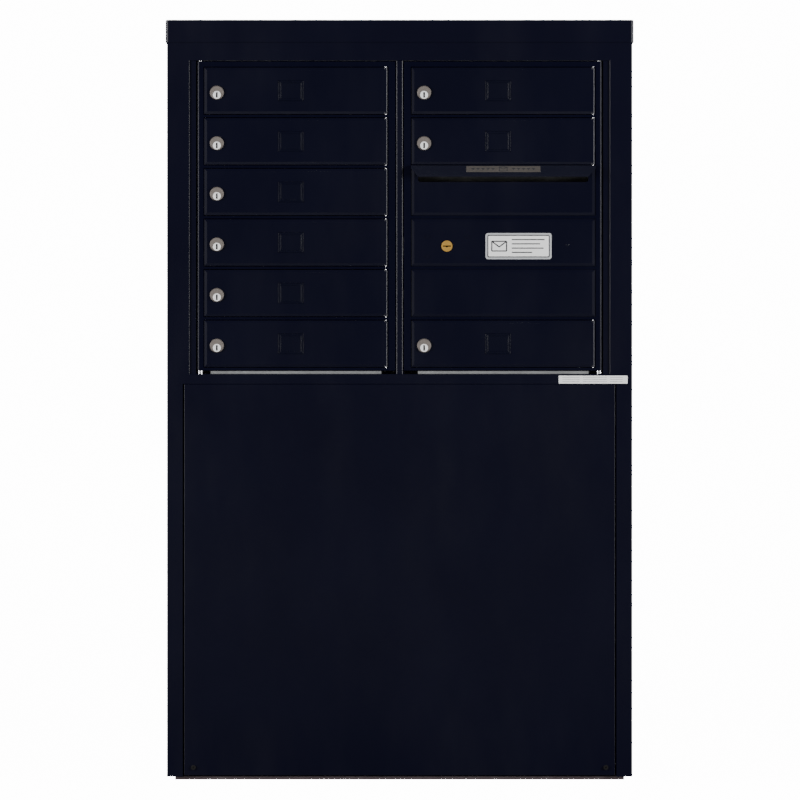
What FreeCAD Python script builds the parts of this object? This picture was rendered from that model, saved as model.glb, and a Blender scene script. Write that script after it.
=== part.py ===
import FreeCAD, Part
import os
import re

import Sketcher

# A free-standing cluster mailbox unit. A powder-coated sheet cabinet stands on a base plate and holds
# a front-loading mail module: two hinged master doors, nine tenant doors, one outgoing-mail slot.
# Millimetres. +Z is up, the front faces -Y, +X is to the right. The origin is on the floor, under the
# middle of the whole unit.

SIZES = {
    # cabinet
    "unit_tall": 1336,          # floor to the top of the cap
    "body_wide": 818,           # outside of one side panel to the other
    "body_deep": 470,           # front face to the outside of the back panel
    "panel_thick": 1.6,         # cabinet sheet
    "return_wide": 28,          # folded edges of the side panels
    "return_clear": 0.5,        # a side panel's trimmed edge beside the surround
    "base_thick": 6,            # base plate, which the body stands on
    "base_inset": 14,           # base plate inside the body's outline, on each side
    "anchor_pitch_wide": 640,   # anchor bolt holes
    "anchor_pitch_deep": 330,
    "anchor_bore": 7,           # radius
    "cap_thick": 2,
    "cap_skirt": 39.5,          # height of the cap's sides
    "cap_gap": 0.5,             # between the cap's skirt and the body
    "cap_round": 6,             # upright corners of the cap
    "surround_thick": 2,
    "surround_foot": 17.4,      # the surround below its opening
    "surround_edge": 40,        # body's side to the opening in the surround
    "panel_seam": 2.5,          # beside the lower front panel
    "panel_sink": 0.8,          # the lower front panel's face behind the front face
    "panel_fold": 20,
    "panel_lift": 2,            # the lower front panel above the base plate
    "panel_drop": 0.4,          # the lower front panel below the surround
    "back_lift": 1,             # the back panel above the side panels' feet
    "roof_gap": 1,              # the surround and the back panel below the cap's top sheet
    "screw_head": 4.2,          # radius of every cabinet screw's head
    "screw_head_tall": 2.2,
    "screw_shank": 2.4,
    "screw_long": 10,
    "screw_key": 1.7,           # radius of the hexagon recess
    "screw_key_deep": 1.3,
    "screw_edge": 16,           # from a body corner or edge to a screw
    # mail module
    "window_drop": 72,          # top of the unit down to the opening in the surround
    "flange_show": 11.3,        # module's flange seen beside a master door
    "module_deep": 430,
    "module_thick": 2,
    "module_setback": 2.4,      # the module's front behind the front face
    "module_tuck": 3,           # the module's sides behind the surround's opening edge
    "pitch": 88.9,              # one row of doors
    "first_line": 8.4,          # top of the opening down to the line above the first row
    "last_line": 8.8,           # line below the last row down to the bottom of the opening
    "partition_thick": 2,
    "nose_wide": 13,            # post between the master doors
    "tray_thick": 1.5,          # floor of a compartment
    "tray_flange": 10,
    "tray_setback": 1,          # the trays' front edge behind the locks' cam nuts
    "sill_short": 11,           # each end of a sill strip inside the doors' edges
    "sill_tall": 5.2,
    "sill_deep": 8,
    # master doors
    "frame_deep": 12,
    "frame_gap": 1,             # beside the centre post, and beside the module's front flange
    "stile_wide": 12.2,
    "head_gap": 1.5,            # above and below a master door
    "foot_gap": 6.1,
    "bar_tall": 4.4,
    "pivot_pin": 3,             # radius
    "pivot_long": 14,           # in the stile
    "collar": 4.6,              # radius of the thrust collar under a master door
    "running_fit": 0.05,        # radial, pin in its bore
    # tenant doors and the fixed panels like them
    "door_gap": 1.4,
    "door_thick": 3.2,
    "door_proud": 1.5,          # door face in front of the frame
    "door_bevel": 4.6,          # sloping border of a door's face
    "door_bevel_deep": 1.2,
    "hinge_pin": 1.2,           # radius
    "hinge_long": 6,            # in the door's barrel
    "number_wide": 45,
    "number_tall": 37,
    "number_deep": 0.5,
    "number_place": 152,        # left edge of the door to the middle of the number
    "panel_step": 2,            # thickness of the step that seats a fixed panel in its frame
    # tenant locks
    "lock_edge": 22,            # left edge of the door to the lock
    "lock_drop": 3.4,           # below the middle of the door
    "bezel": 12.3,              # radius
    "bezel_tall": 2.8,
    "bezel_slope": 1.2,         # the bezel's face inside its rim
    "barrel": 9.5,              # radius
    "plug_drop": 4,             # plug below the middle of the lock
    "plug_face": 6.9,           # radius
    "plug_face_deep": 1.8,
    "plug_proud": 0.2,          # the plug's face before the bezel
    "plug_gap": 0.1,            # between the plug's head and its seat
    "plug_stem": 4.5,           # radius
    "keyway_wide": 3,
    "keyway_tall": 9.7,
    "keyway_deep": 5,
    "nut_flats": 22,
    "nut_thick": 4,
    "cam_reach": 30,
    "cam_wide": 12,
    "cam_thick": 2,
    "cam_gap": 1.2,             # between the cam and the back of the frame
    # outgoing mail
    "slot_short": 11.5,         # each end of the slot inside the panel's edges
    "slot_down": 12.1,          # top of the slot below the top of its panel
    "slot_tall": 11.3,
    "slot_round": 4,
    "hood_over": 1,             # each end of the hood outside the panel's edges
    "hood_reach": 13,           # in front of the front face
    "hood_tall": 20.1,
    "hood_rise": 5.7,           # top of the hood above its panel
    "hood_brow": 3.5,           # the hood's reach at its top
    "hood_lip": 3,
    "hood_thick": 2,
    "baffle_thick": 1.5,
    "baffle_deep": 46,
    "baffle_drop": 24,
    "baffle_tab": 9,
    "baffle_up": 1,             # above the slot
    # carrier lock, on the panel below the slot
    "carrier_place": 62,        # left edge of the panel to the plug
    "carrier_drop": 6.3,        # plug below the middle of the panel
    "carrier_plug": 9.7,        # radius
    "carrier_proud": 1.2,
    "carrier_slot_wide": 14,
    "carrier_slot_tall": 2,
    "carrier_notch": 1.6,       # radius of the notch in the middle of the slot
    "carrier_fit": 0.1,         # radial, plug in the panel and the case
    "case_wide": 84,
    "case_tall": 50,
    "case_room": 1.9,           # behind the bolt
    "case_wall": 2,
    "disc": 12.6,               # radius of the plug's drive disc
    "disc_thick": 5,
    "disc_gap": 0.3,            # between the disc and the case's front wall
    "drive_pin": 2,             # radius
    "drive_arm": 9,             # plug's middle to the drive pin
    "drive_play": 0.45,         # beside the drive pin in the bolt's slot
    "pin_short": 1,             # end of the drive pin inside the bolt's back
    "bolt_web": 1.6,            # the bolt above the drive pin's slot
    "bolt_thick": 8,
    "bolt_tall": 14,            # the bolt's nose
    "bolt_gap": 0.8,            # between the bolts and the back of the frames
    "bolt_play": 0.3,           # round a bolt in its guide
    "bolt_rest": 0.5,           # tip of the retracted bolt from the stile's edge
    "bolt_long": 82,
    "stud_wide": 70.6,          # pattern of the studs that hold the lock case
    "stud_tall": 34.8,
    "stud_shift": 1.1,          # middle of the studs, right of the plug and below it
    "stud": 2.5,                # radius
    "stud_head": 3.6,           # radius
    "stud_head_tall": 0.6,
    "stud_nut": 5,              # radius over the corners
    "stud_nut_tall": 3.2,
    "keeper_tall": 34,
    "keeper_deep": 20,
    "keeper_reach": 14,
    "keeper_thick": 1.6,
    "keeper_gap": 0.1,          # between the keeper and the frame before it
    "keeper_clear": 0.2,        # between the keeper and the bolt behind it
    # release bolt of the left master door
    "guide_wide": 22,
    "guide_wall": 4,
    "guide_front": 0.4,         # the guide's front before the bolt
    "release_tall": 10,
    "release_tip": 2,           # tip of the retracted bolt inside the centre post's edge
    "knob": 8,                  # radius
    "knob_long": 10,
    "knob_gap": 3,              # between the knob and the guide when the bolt is thrown
}

# Places worked out from the sizes. Each is an expression, so it follows the sheet.
PLACES = {
    "front": "(hood_reach - body_deep - cap_gap - cap_thick) / 2",
    "back": "(front + body_deep)",
    "side": "(body_wide / 2)",
    "roof": "(unit_tall - cap_thick)",
    "window_top": "(unit_tall - window_drop)",
    "first_row": "(window_top - first_line)",
    "window_low": "(first_row - 6 * pitch - last_line)",
    "window_wide": "(body_wide - 2 * surround_edge)",
    "surround_low": "(window_low - surround_foot)",
    "module_front": "(front + module_setback)",
    "module_back": "(module_front + module_deep)",
    "module_side": "(window_wide / 2 + module_tuck)",
    "frame_back": "(module_front + frame_deep)",
    "frame_inner": "(nose_wide / 2 + frame_gap)",
    "frame_outer": "(window_wide / 2 - flange_show - frame_gap)",
    "door_wide": "(frame_outer - frame_inner - 2 * stile_wide - 2 * door_gap)",
    "column": "((frame_outer + frame_inner) / 2)",
    "pivot_x": "(frame_outer - frame_deep / 2)",
    "pivot_y": "(module_front + frame_deep / 2)",
    "frame_low": "(window_low + foot_gap)",
    "frame_top": "(window_top - head_gap)",
    "opening_wide": "(door_wide + 2 * door_gap)",
    "opening_tall": "(pitch - bar_tall)",
    "door_tall": "(opening_tall - 2 * door_gap)",
    "door_face": "(module_front - door_proud)",
    "door_back": "(door_face + door_thick)",
    "panel_back": "(door_back + panel_step)",
    "hinge_y": "(door_face + door_thick)",
    "cam_front": "(frame_back + cam_gap)",
    "tray_front": "(cam_front + cam_thick + nut_thick / 2 + tray_setback)",
    "bolt_front": "(frame_back + bolt_gap)",
    "bolt_back": "(bolt_front + bolt_thick)",
    "bolt_throw": "(drive_arm * sqrt(2))",
    "slot_wide": "(door_wide - 2 * slot_short)",
    "hood_wide": "(door_wide + 2 * hood_over)",
    "sill_wide": "(door_wide - 2 * sill_short)",
    "case_back": "(bolt_back + case_room + case_wall)",
}


def worked(text):
    """The expression with every place written out and every size read from the sheet."""
    def one(found):
        name = found.group(0)
        if name in PLACES:
            return worked(PLACES[name])
        return "Sizes." + name if name in SIZES else name
    return re.sub(r"[a-z_]+", one, str(text))


def row_line(line):
    """Height of the line between rows: line 0 is above the first row, line 6 below the last."""
    return "(first_row - pitch * %d)" % line


def row_middle(row):
    """Height of the middle of a row, counted from 1 at the top."""
    return "(first_row - pitch * %s)" % (row - 0.5)


# --- the document and the ways its objects are made ------------------------------------------------

doc = FreeCAD.newDocument("cluster_mailbox")
sheet = doc.addObject("Spreadsheet::Sheet", "Sizes")
for number, (alias, size) in enumerate(SIZES.items(), start=1):
    sheet.set("A%d" % number, alias)
    sheet.set("B%d" % number, str(size))
    sheet.setAlias("B%d" % number, alias)
doc.recompute()

AXIS_TURN = {
    "X": FreeCAD.Rotation(FreeCAD.Vector(0, 1, 0), 90),
    "Y": FreeCAD.Rotation(FreeCAD.Vector(1, 0, 0), -90),
    "Z": FreeCAD.Rotation(),
}
nodes = []


def bind(thing, sizes):
    """Bind each property of an object to its expression."""
    for name, text in sizes.items():
        thing.setExpression(name, worked(text))
    return thing


def put(thing, x, y, z):
    """Bind an object's place."""
    return bind(thing, {"Placement.Base.x": x, "Placement.Base.y": y, "Placement.Base.z": z})


def node(label, thing):
    """Name an object as one sub-part."""
    thing.Label = label
    nodes.append(thing)
    return thing


def block(x, y, z):
    """A box between two expressions on each axis."""
    box = doc.addObject("Part::Box", "block")
    spans = zip(("Length", "Width", "Height"), (x, y, z))
    bind(box, {name: "(%s) - (%s)" % (high, low) for name, (low, high) in spans})
    return put(box, x[0], y[0], z[0])


def rod(axis, at, radius, long):
    """A cylinder along X, Y or Z from a point."""
    round_bar = doc.addObject("Part::Cylinder", "rod")
    round_bar.Placement = FreeCAD.Placement(FreeCAD.Vector(), AXIS_TURN[axis])
    bind(round_bar, {"Radius": radius, "Height": long})
    return put(round_bar, *at)


def hexagon(axis, at, corner, long):
    """A six-sided bar along X, Y or Z from a point, sized across its corners' circle."""
    prism = doc.addObject("Part::Prism", "hexagon")
    prism.Polygon = 6
    prism.Placement = FreeCAD.Placement(FreeCAD.Vector(), AXIS_TURN[axis])
    bind(prism, {"Circumradius": corner, "Height": long})
    return put(prism, *at)


def joined(shapes):
    """Several objects fused into one solid."""
    fused = doc.addObject("Part::MultiFuse", "joined")
    fused.Shapes = shapes
    fused.Refine = True
    return fused


def group(shapes):
    """Several separate solids kept in one node."""
    compound = doc.addObject("Part::Compound", "group")
    compound.Links = shapes
    return compound


def less(base, tools):
    """An object with others cut out of it."""
    cut = doc.addObject("Part::Cut", "cut")
    cut.Base = base
    cut.Tool = tools[0] if len(tools) == 1 else group(tools)
    cut.Refine = True
    return cut


def new_body():
    body = doc.addObject("PartDesign::Body", "body")
    doc.recompute()
    return body


def sketch_on(body, plane, lift):
    """A sketch on one of the body's own origin planes, moved along the plane's normal."""
    sketch = body.newObject("Sketcher::SketchObject", "sketch")
    origin = [feature for feature in body.Origin.OriginFeatures if feature.Role == plane + "_Plane"][0]
    sketch.AttachmentSupport = [(origin, "")]
    sketch.MapMode = "FlatFace"
    return bind(sketch, {"AttachmentOffset.Base.z": lift})


def place_point(sketch, part, end, at):
    """Fix one point of a sketch's curve at two expressions, measured from the sketch's origin."""
    for kind, text in zip(("DistanceX", "DistanceY"), at):
        number = sketch.addConstraint(Sketcher.Constraint(kind, -1, 1, part, end, 1.0 + part))
        sketch.setExpression("Constraints[%d]" % number, worked(text))


def draw_loop(sketch, corners):
    """A closed outline of straight edges."""
    first = sketch.GeometryCount
    count = len(corners)
    seeds = [FreeCAD.Vector(7 * k + first, (k * k) % 5 + first, 0) for k in range(count)]
    for k in range(count):
        sketch.addGeometry(Part.LineSegment(seeds[k], seeds[(k + 1) % count]), False)
    for k in range(count):
        sketch.addConstraint(Sketcher.Constraint("Coincident", first + k, 2, first + (k + 1) % count, 1))
    for k, corner in enumerate(corners):
        place_point(sketch, first + k, 1, corner)


def draw_circle(sketch, at, radius):
    circle = Part.Circle(FreeCAD.Vector(1, 2, 0), FreeCAD.Vector(0, 0, 1), 3)
    number = sketch.addGeometry(circle, False)
    place_point(sketch, number, 3, at)
    size = sketch.addConstraint(Sketcher.Constraint("Radius", number, 3.0))
    sketch.setExpression("Constraints[%d]" % size, worked(radius))


def draw(sketch, outlines):
    """Outlines are lists of corners, or (centre, radius) pairs for circles."""
    for outline in outlines:
        if isinstance(outline, tuple):
            draw_circle(sketch, *outline)
        else:
            draw_loop(sketch, outline)


def solid_run(body, plane, outlines, low, high):
    """Pad the outlines from low to high along the axis that is square to the plane."""
    back_to_front = plane == "XZ"
    sketch = sketch_on(body, plane, "-(%s)" % low if back_to_front else low)
    draw(sketch, outlines)
    pad = body.newObject("PartDesign::Pad", "pad")
    pad.Profile = sketch
    pad.Reversed = back_to_front
    bind(pad, {"Length": "(%s) - (%s)" % (high, low)})
    doc.recompute()
    return pad


def cut_run(body, plane, outlines, low, high):
    """Pocket the outlines from low to high. The solid must get smaller."""
    before = body.Shape.Volume
    back_to_front = plane == "XZ"
    sketch = sketch_on(body, plane, "-(%s)" % low if back_to_front else low)
    draw(sketch, outlines)
    pocket = body.newObject("PartDesign::Pocket", "pocket")
    pocket.Profile = sketch
    pocket.Reversed = not back_to_front
    bind(pocket, {"Length": "(%s) - (%s)" % (high, low)})
    doc.recompute()
    if body.Shape.Volume > before - 0.01:
        raise ValueError("a pocket in %s removed nothing" % body.Label)
    return pocket


def sloped_front(body, full, drawn_in):
    """The front of a door or panel: a loft from its full outline to a smaller one in its face."""
    sketches = []
    for outline, level in ((full, "door_face + door_bevel_deep"), (drawn_in, "door_face")):
        sketch = sketch_on(body, "XZ", "-(%s)" % level)
        draw_loop(sketch, outline)
        sketches.append(sketch)
    loft = body.newObject("PartDesign::AdditiveLoft", "sloped_front")
    loft.Profile = sketches[0]
    loft.Sections = [sketches[1]]
    loft.Ruled = True
    doc.recompute()
    return loft


def rectangle(x, y):
    """Corners of a rectangle between two expressions each way."""
    return [(x[0], y[0]), (x[1], y[0]), (x[1], y[1]), (x[0], y[1])]


def edges_where(shape, wanted):
    """Names of the straight edges that a test on their two ends picks."""
    names = []
    for number, edge in enumerate(shape.Edges, start=1):
        ends = [vertex.Point for vertex in edge.Vertexes]
        if len(ends) == 2 and isinstance(edge.Curve, Part.Line) and wanted(*ends):
            names.append("Edge%d" % number)
    return names


def dress(body, kind, wanted, sizes):
    """Fillet or chamfer the edges that a test picks on the body's last feature."""
    base = body.Tip
    feature = body.newObject("PartDesign::" + kind, kind.lower())
    feature.Base = (base, edges_where(base.Shape, wanted))
    bind(feature, sizes)
    doc.recompute()
    return feature


def value(text):
    """A number worked out from the sheet, for picking edges only."""
    return float(sheet.evalExpression(worked(text)))


def near(first, second):
    return abs(first - second) < 0.01


# --- cabinet ---------------------------------------------------------------------------------------

# Base plate: flat steel with four holes for anchor bolts.
base_side = "side - base_inset"
plate_deep = ("front + base_inset", "back - base_inset")
plate = block(("-(%s)" % base_side, base_side), plate_deep, ("0", "base_thick"))
anchors = []
for across in ("-anchor_pitch_wide / 2", "anchor_pitch_wide / 2"):
    for along in ("-anchor_pitch_deep / 2", "anchor_pitch_deep / 2"):
        middle = "(front + back) / 2 + %s" % along
        anchors.append(rod("Z", (across, middle, "-1"), "anchor_bore", "base_thick + 2"))
node("base_plate", less(plate, anchors))

# Side panels: one folded sheet each, with a front and a rear return and a foot that stands on the
# base. The front return stops under the surround.
skin_back = "back - panel_thick"
for hand, sign in (("left", "-"), ("right", "")):
    outer = sign + "side"
    wall = "%s(side - panel_thick)" % sign
    lip = "%s(side - return_wide)" % sign
    panel = new_body()
    section = [
        (lip, "front"), (outer, "front"), (outer, skin_back), (lip, skin_back),
        (lip, skin_back + " - panel_thick"), (wall, skin_back + " - panel_thick"),
        (wall, "front + panel_thick"), (lip, "front + panel_thick"),
    ]
    solid_run(panel, "XY", [section], "base_thick", "roof")
    foot = rectangle((lip, wall), ("front + panel_thick", skin_back + " - panel_thick"))
    solid_run(panel, "XY", [foot], "base_thick", "base_thick + panel_thick")
    trimmed = ("front - 1", "front + panel_thick + return_clear")
    clear = rectangle(("%s(side - return_wide - 1)" % sign, wall), trimmed)
    cut_run(panel, "XY", [clear], "surround_low", "roof + 1")
    node("side_panel_" + hand, panel)

# Back panel: a flat sheet screwed to the rear returns.
back_low = "base_thick + panel_thick + back_lift"
node("back_panel", block(("-side", "side"), (skin_back, "back"), (back_low, "roof - roof_gap")))

# Front surround: the sheet that frames the mail module, between the side panels.
surround = new_body()
surround_side = "(side - panel_thick)"
edge = rectangle(("-" + surround_side, surround_side), ("surround_low", "roof - roof_gap"))
window = rectangle(("-window_wide / 2", "window_wide / 2"), ("window_low", "window_top"))
solid_run(surround, "XZ", [edge, window], "front", "front + surround_thick")
window_half = value("window_wide / 2")
face_y = value("front")


def on_window(first, second):
    """The four front edges of the surround's opening."""
    in_face = near(first.y, face_y) and near(second.y, face_y)
    inside = max(abs(first.x), abs(second.x)) < window_half + 0.01
    return in_face and inside


dress(surround, "Fillet", on_window, {"Radius": "surround_thick * 0.7"})
node("front_surround", surround)

# Lower front panel: a folded tray between the front returns, its top edge under the surround.
lower = new_body()
lower_side = "(side - return_wide - panel_seam)"
lower_face = "(front + panel_sink)"
lower_low = "(base_thick + panel_lift)"
lower_top = "(surround_low - panel_drop)"
outside = rectangle(("-" + lower_side, lower_side), (lower_low, lower_top))
solid_run(lower, "XZ", [outside], lower_face, lower_face + " + panel_fold")
inner = "(%s - panel_thick)" % lower_side
hollow = rectangle(("-" + inner, inner), (lower_low + " + panel_thick", lower_top + " - panel_thick"))
cut_run(lower, "XZ", [hollow], lower_face + " + panel_thick", lower_face + " + panel_fold + 1")
lower_y = value(lower_face)
in_lower_face = lambda a, b: near(a.y, lower_y) and near(b.y, lower_y)
dress(lower, "Fillet", in_lower_face, {"Radius": "panel_thick * 0.6"})
node("lower_front_panel", lower)

# Top cap: a closed folded lid whose skirt goes round the body.
cap = new_body()
cap_side = "(side + cap_gap + cap_thick)"
cap_front = "(front - cap_gap - cap_thick)"
cap_back = "(back + cap_gap + cap_thick)"
lid = rectangle(("-" + cap_side, cap_side), (cap_front, cap_back))
solid_run(cap, "XY", [lid], "unit_tall - cap_skirt", "unit_tall")
dress(cap, "Fillet", lambda a, b: near(a.x, b.x) and near(a.y, b.y), {"Radius": "cap_round"})
roof_z = value("unit_tall")
dress(cap, "Fillet", lambda a, b: near(a.z, roof_z) and near(b.z, roof_z), {"Radius": "cap_round / 2"})
inside_x = "(%s - cap_thick)" % cap_side
hollow = rectangle(("-" + inside_x, inside_x), (cap_front + " + cap_thick", cap_back + " - cap_thick"))
cut_run(cap, "XY", [hollow], "unit_tall - cap_skirt - 1", "roof")
node("top_cap", cap)

# Shelf that carries the module: a plate folded down at the front and the back.
shelf = new_body()
shelf_front = "front + surround_thick"
shelf_back = skin_back + " - panel_thick - 1"
shelf_top = "(window_low - module_thick)"
shelf_low = "surround_low"
section = [
    (shelf_front, shelf_low), (shelf_front + " + panel_thick", shelf_low),
    (shelf_front + " + panel_thick", shelf_top + " - panel_thick"),
    (shelf_back + " - panel_thick", shelf_top + " - panel_thick"),
    (shelf_back + " - panel_thick", shelf_low), (shelf_back, shelf_low),
    (shelf_back, shelf_top), (shelf_front, shelf_top),
]
solid_run(shelf, "YZ", [section], "-" + surround_side, surround_side)
node("support_shelf", shelf)


def screw(axis_sign, x, y, z):
    """A pan-head security screw along Y, its head's outer face away from the sheet at y."""
    facing_front = axis_sign < 0
    head_y = "(%s) - screw_head_tall" % y if facing_front else y
    shank_y = y if facing_front else "(%s) - screw_long" % y
    key_y = head_y + " - 1" if facing_front else "(%s) + screw_head_tall - screw_key_deep" % y
    head = rod("Y", (x, head_y, z), "screw_head", "screw_head_tall")
    shank = rod("Y", (x, shank_y, z), "screw_shank", "screw_long")
    key = hexagon("Y", (x, key_y, z), "screw_key", "screw_key_deep + 1")
    return less(joined([head, shank]), [key])


# Screws of the lower front panel and the back panel, all alike, with their holes.
front_screws = []
for x in ("-(%s - screw_edge)" % lower_side, "%s - screw_edge" % lower_side):
    front_screws.append((x, lower_face, "base_thick + screw_edge"))
rear_low = "(%s + screw_edge)" % back_low
rear_top = "(unit_tall - cap_skirt - screw_edge)"
rear_screws = []
for x in ("-side + return_wide / 2", "side - return_wide / 2"):
    for step in (0, 1, 2, 3):
        height = "%s + (%s - %s) * %d / 3" % (rear_low, rear_top, rear_low, step)
        rear_screws.append((x, "back", height))
screws = [screw(-1, *at) for at in front_screws] + [screw(1, *at) for at in rear_screws]
node("cabinet_screws", group(screws))


def drilled(label, places, radius):
    """Cut screw holes through the sub-part with this label."""
    for index, thing in enumerate(nodes):
        if thing.Label == label:
            tools = []
            for x, y, z in places:
                tools.append(rod("Y", (x, "(%s) - screw_long" % y, z), radius, "2 * screw_long"))
            thing.Label = label + "_blank"
            nodes[index] = less(thing, tools)
            nodes[index].Label = label


drilled("lower_front_panel", front_screws, "screw_shank")
drilled("back_panel", rear_screws, "screw_shank")
drilled("side_panel_left", rear_screws[:4], "screw_shank")
drilled("side_panel_right", rear_screws[4:], "screw_shank")

# --- mail module -----------------------------------------------------------------------------------

# Sides: an aluminium sheet folded at the front into the narrow flange beside a master door.
wrap_low = "(window_low - module_thick)"
wrap_top = "(window_top + module_thick)"
for hand, sign in (("left", "-"), ("right", "")):
    flange = "%s(frame_outer + frame_gap)" % sign
    outer = "%smodule_side" % sign
    inner = "%s(module_side - module_thick)" % sign
    side_sheet = new_body()
    section = [
        (flange, "module_front"), (outer, "module_front"), (outer, "module_back"), (inner, "module_back"),
        (inner, "module_front + module_thick"), (flange, "module_front + module_thick"),
    ]
    solid_run(side_sheet, "XY", [section], wrap_low, wrap_top)
    node("module_side_" + hand, side_sheet)

# Wrap: the module's top, back and bottom in one folded sheet.
wrap = new_body()
wrap_front = "module_front + module_thick"
section = [
    (wrap_front, wrap_low), ("module_back", wrap_low), ("module_back", wrap_top), (wrap_front, wrap_top),
    (wrap_front, "window_top"), ("module_back - module_thick", "window_top"),
    ("module_back - module_thick", "window_low"), (wrap_front, "window_low"),
]
solid_run(wrap, "YZ", [section], "-(module_side - module_thick)", "module_side - module_thick")
pivots = [("-pivot_x", "pivot_y"), ("pivot_x", "pivot_y")]
cut_run(wrap, "XY", [(at, "pivot_pin") for at in pivots], wrap_low + " - 1", wrap_top + " + 1")
node("module_wrap", wrap)

# Centre partition: the web between the columns, with the post that the master doors close beside.
half_web = "partition_thick / 2"
half_nose = "nose_wide / 2"
module_inner_back = "(module_back - module_thick)"
partition = new_body()
section = [
    ("-(%s)" % half_nose, "module_front"), (half_nose, "module_front"), (half_nose, "frame_back"),
    (half_web, "frame_back"), (half_web, module_inner_back), ("-(%s)" % half_web, module_inner_back),
    ("-(%s)" % half_web, "frame_back"), ("-(%s)" % half_nose, "frame_back"),
]
# The wrap's top and bottom end behind the flanges, so the post stands between them.
solid_run(partition, "XY", [section], "window_low", "window_top")
nose_y = value("module_front")
dress(partition, "Fillet", lambda a, b: near(a.y, nose_y) and near(b.y, nose_y) and near(a.x, b.x),
      {"Radius": "nose_wide / 4"})
release_z = row_middle(5)
bolt_window = rectangle(
    ("bolt_front - bolt_play", "bolt_back + bolt_play"),
    ("%s - release_tall / 2 - bolt_play" % release_z, "%s + release_tall / 2 + bolt_play" % release_z),
)
cut_run(partition, "YZ", [bolt_window], "-nose_wide", "nose_wide")
node("centre_partition", partition)

# Sill strips: bare aluminium under each master door.
sills = []
for sign in ("-", ""):
    middle = "%scolumn" % sign
    across = ("%s - sill_wide / 2" % middle, "%s + sill_wide / 2" % middle)
    along = (wrap_front, wrap_front + " + sill_deep")
    sills.append(block(across, along, ("window_low", "window_low + sill_tall")))
node("sill_strips", group(sills))

# Compartment trays: folded floors between the rows. The outgoing compartment has no floor inside it.
module_inner = "(module_side - module_thick)"


def tray(low, high, line):
    """One compartment floor between two X places, centred on a row line."""
    top = "%s + tray_thick / 2" % row_line(line)
    under = "%s - tray_thick / 2" % row_line(line)
    foot = under + " - tray_flange"
    body = new_body()
    section = [
        (low, top), (high, top), (high, foot), (high + " - tray_thick", foot),
        (high + " - tray_thick", under), (low + " + tray_thick", under),
        (low + " + tray_thick", foot), (low, foot),
    ]
    solid_run(body, "XZ", [section], "tray_front", module_inner_back)
    return body


left_trays = [tray("-" + module_inner, "-" + half_web, line) for line in (1, 2, 3, 4, 5)]
right_trays = [tray(half_web, module_inner, line) for line in (1, 2, 5)]
node("compartment_trays", group(left_trays + right_trays))

# Pivot pins of the master doors. The lower pins have a collar that the door turns on.
pins = []
for x, y in pivots:
    top_long = "pivot_long + head_gap + module_thick"
    pins.append(rod("Z", (x, y, "frame_top - pivot_long"), "pivot_pin", top_long))
    low_pin = rod("Z", (x, y, wrap_low), "pivot_pin", "module_thick + foot_gap + pivot_long")
    collar = rod("Z", (x, y, "window_low"), "collar", "foot_gap - running_fit")
    pins.append(joined([low_pin, collar]))
node("master_pivot_pins", group(pins))

# Keeper: an angle on the partition that the carrier lock's bolt goes behind.
carrier_z = "(%s - carrier_drop)" % row_middle(4)
keeper = new_body()
keeper_front = "(frame_back + keeper_gap)"
keeper_back = keeper_front + " + keeper_deep"
keeper_tip = "(%s + keeper_reach)" % half_web
keeper_bend = half_web + " + keeper_thick"
section = [
    (half_web, keeper_front), (keeper_tip, keeper_front), (keeper_tip, "bolt_front - keeper_clear"),
    (keeper_bend, "bolt_front - keeper_clear"), (keeper_bend, keeper_back), (half_web, keeper_back),
]
solid_run(keeper, "XY", [section], carrier_z + " - keeper_tall / 2", carrier_z + " + keeper_tall / 2")
node("bolt_keeper", keeper)

# Release guide: a block on the partition that carries the left door's bolt.
guide = new_body()
guide_side = "(%s + guide_wide)" % half_web
guide_face = "(bolt_front - guide_front)"
guide_back = "(bolt_back + guide_wall)"
guide_half = "(release_tall / 2 + guide_wall)"
guide_levels = ("%s - %s" % (release_z, guide_half), "%s + %s" % (release_z, guide_half))
outside = rectangle((guide_face, guide_back), guide_levels)
solid_run(guide, "YZ", [outside], half_web, guide_side)
open_levels = (bolt_window[0][1], bolt_window[2][1])
open_front = rectangle((guide_face + " - 1", "bolt_back + bolt_play"), open_levels)
cut_run(guide, "YZ", [open_front], half_web + " - 1", guide_side + " + 1")
node("release_guide", guide)

# --- master doors ----------------------------------------------------------------------------------


def master_frame(sign, bars):
    """Two stiles and the rails of a master door. The outer stile is rounded about its pivot."""
    outer = "%sframe_outer" % sign
    axle = "%spivot_x" % sign
    inside = "%s(frame_outer - stile_wide)" % sign
    low_x, high_x = (axle, inside) if sign else (inside, axle)
    slab = block((low_x, high_x), ("module_front", "frame_back"), ("frame_low", "frame_top"))
    bead = rod("Z", (axle, "pivot_y", "frame_low"), "frame_deep / 2", "frame_top - frame_low")
    ends = (("frame_low - 1", "pivot_long + 2"), ("frame_top - pivot_long - 1", "pivot_long + 2"))
    bores = [rod("Z", (axle, "pivot_y", at), "pivot_pin + running_fit", long) for at, long in ends]
    hinge_stile = less(joined([slab, bead]), bores)
    free_edge = ["%sframe_inner" % sign, "%s(frame_inner + stile_wide)" % sign]
    if sign:
        free_edge.reverse()
    free_stile = block(free_edge, ("module_front", "frame_back"), ("frame_low", "frame_top"))
    middle = "%scolumn" % sign
    across = ("%s - opening_wide / 2" % middle, "%s + opening_wide / 2" % middle)
    rails = [hinge_stile, free_stile]
    for line in bars:
        low = "frame_low" if line == 6 else "%s - bar_tall / 2" % row_line(line)
        high = "frame_top" if line == 0 else "%s + bar_tall / 2" % row_line(line)
        rail = block(across, ("module_front", "frame_back"), (low, high))
        pin_x = "%s + door_wide / 2 - door_thick" % middle
        bore = rod("Z", (pin_x, "hinge_y", low + " - 1"), "hinge_pin", "%s - (%s) + 2" % (high, low))
        rails.append(less(rail, [bore]))
    return group(rails)


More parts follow.
